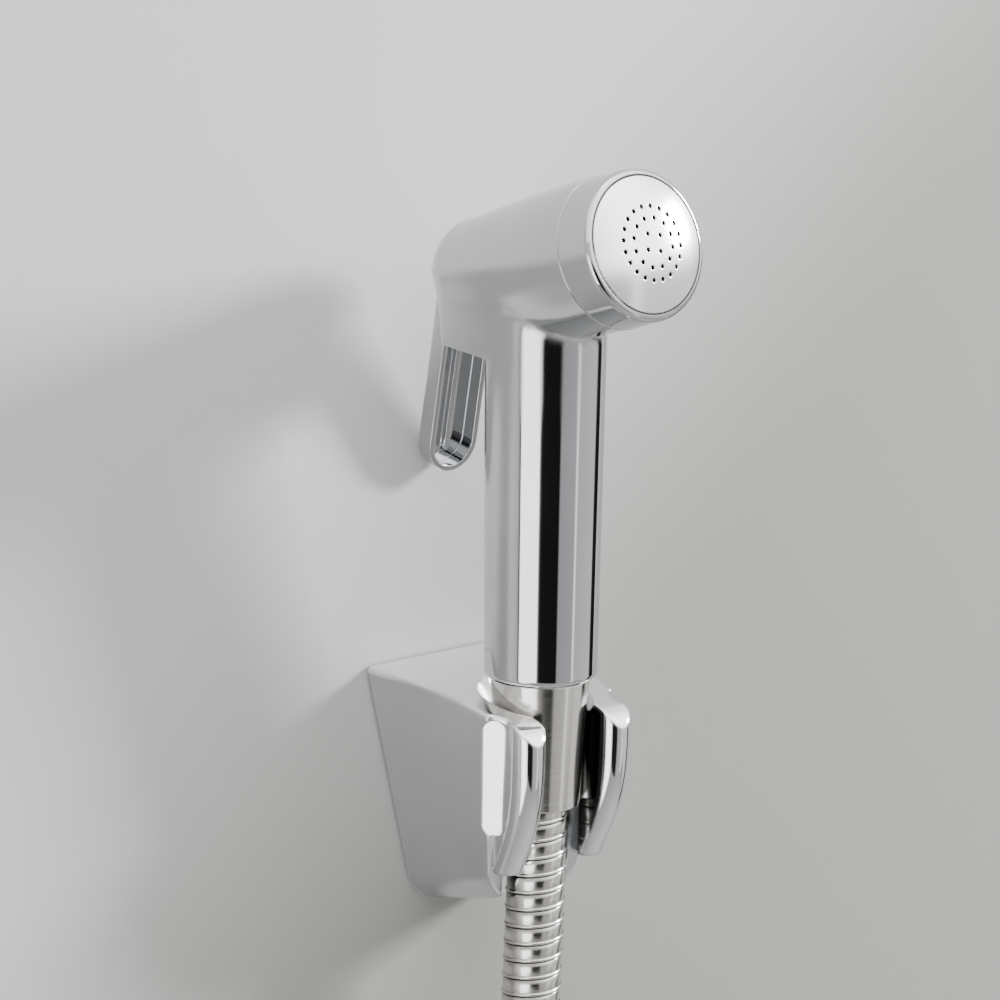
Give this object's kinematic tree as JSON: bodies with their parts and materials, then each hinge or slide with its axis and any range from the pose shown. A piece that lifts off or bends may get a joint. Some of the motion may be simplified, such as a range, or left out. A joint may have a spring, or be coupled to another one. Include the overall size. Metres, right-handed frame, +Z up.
{
  "type": "handheld bidet shower",
  "caption": "Trigger hand shower docked in a tapering wall holder by its cone nut, with a ribbed metal hose and a tied coil of spare hose.",
  "frame": {"origin": "middle of the holder's two screw holes, on the wall", "axes": "+Y into the wall, +Z up the wall, +X to the right seen from the room; the room is towards -Y"},
  "size_m": [0.1608, 0.0813, 0.4856],
  "materials": {
    "handset_chrome": "bright chrome on moulded plastic",
    "bracket_chrome": "bright chrome with a slightly softer side face",
    "face_plate": "polished pressed plate",
    "seal_rubber": "matt black",
    "inner_plastic": "plain moulded",
    "steel": "plain",
    "brass": "turned",
    "brushed_nut": "fine turned satin",
    "nut_chrome": "bright chrome",
    "hose_steel": "wound strip, bright ridges",
    "tie_plastic": "plain band"
  },
  "bodies": {
    "holder": {"wall_bracket": "bracket_chrome"},
    "handset": {"handle_body": "handset_chrome", "head_collar": "handset_chrome", "spray_plate": "face_plate", "plate_gasket": "seal_rubber", "flow_disc": "inner_plastic", "trigger_pin": "steel", "valve_seat": "inner_plastic", "valve_bonnet": "brass", "bonnet_o_ring": "seal_rubber", "stem_o_ring": "seal_rubber", "valve_spring": "steel", "cone_nut": "brushed_nut", "top_washer": "seal_rubber", "top_hose_tail": "brass", "top_ferrule": "steel", "hose": "hose_steel", "hose_coil": "hose_steel", "coil_tie": "tie_plastic", "hose_end": "hose_steel", "bottom_hose_tail": "brass", "bottom_ferrule": "steel", "bottom_hex_nut": "nut_chrome", "bottom_washer": "seal_rubber"},
    "trigger": {"trigger_lever": "handset_chrome"},
    "valve": {"valve_stem": "brass", "valve_disc": "seal_rubber"}
  },
  "joints": [
    {"name": "handset_lift", "type": "slide", "parent": "holder", "child": "handset", "axis": [0, -0.1219, 0.9925], "range_m": [0, 0.045]},
    {"name": "trigger_swing", "type": "hinge", "parent": "handset", "child": "trigger", "pos_m": [0, -0.01658, 0.11027], "axis": [-1, 0, 0], "range_deg": [0, 14], "stiffness_Nm_per_rad": 0.5},
    {"name": "valve_push", "type": "slide", "parent": "handset", "child": "valve", "axis": [0, -0.9925, -0.1219], "range_m": [0, 0.0015], "deforming": ["valve_spring"]}
  ],
  "couplings": [
    {"joint": "valve_push", "follows": "trigger_swing", "m_per_rad": 0.006}
  ]
}
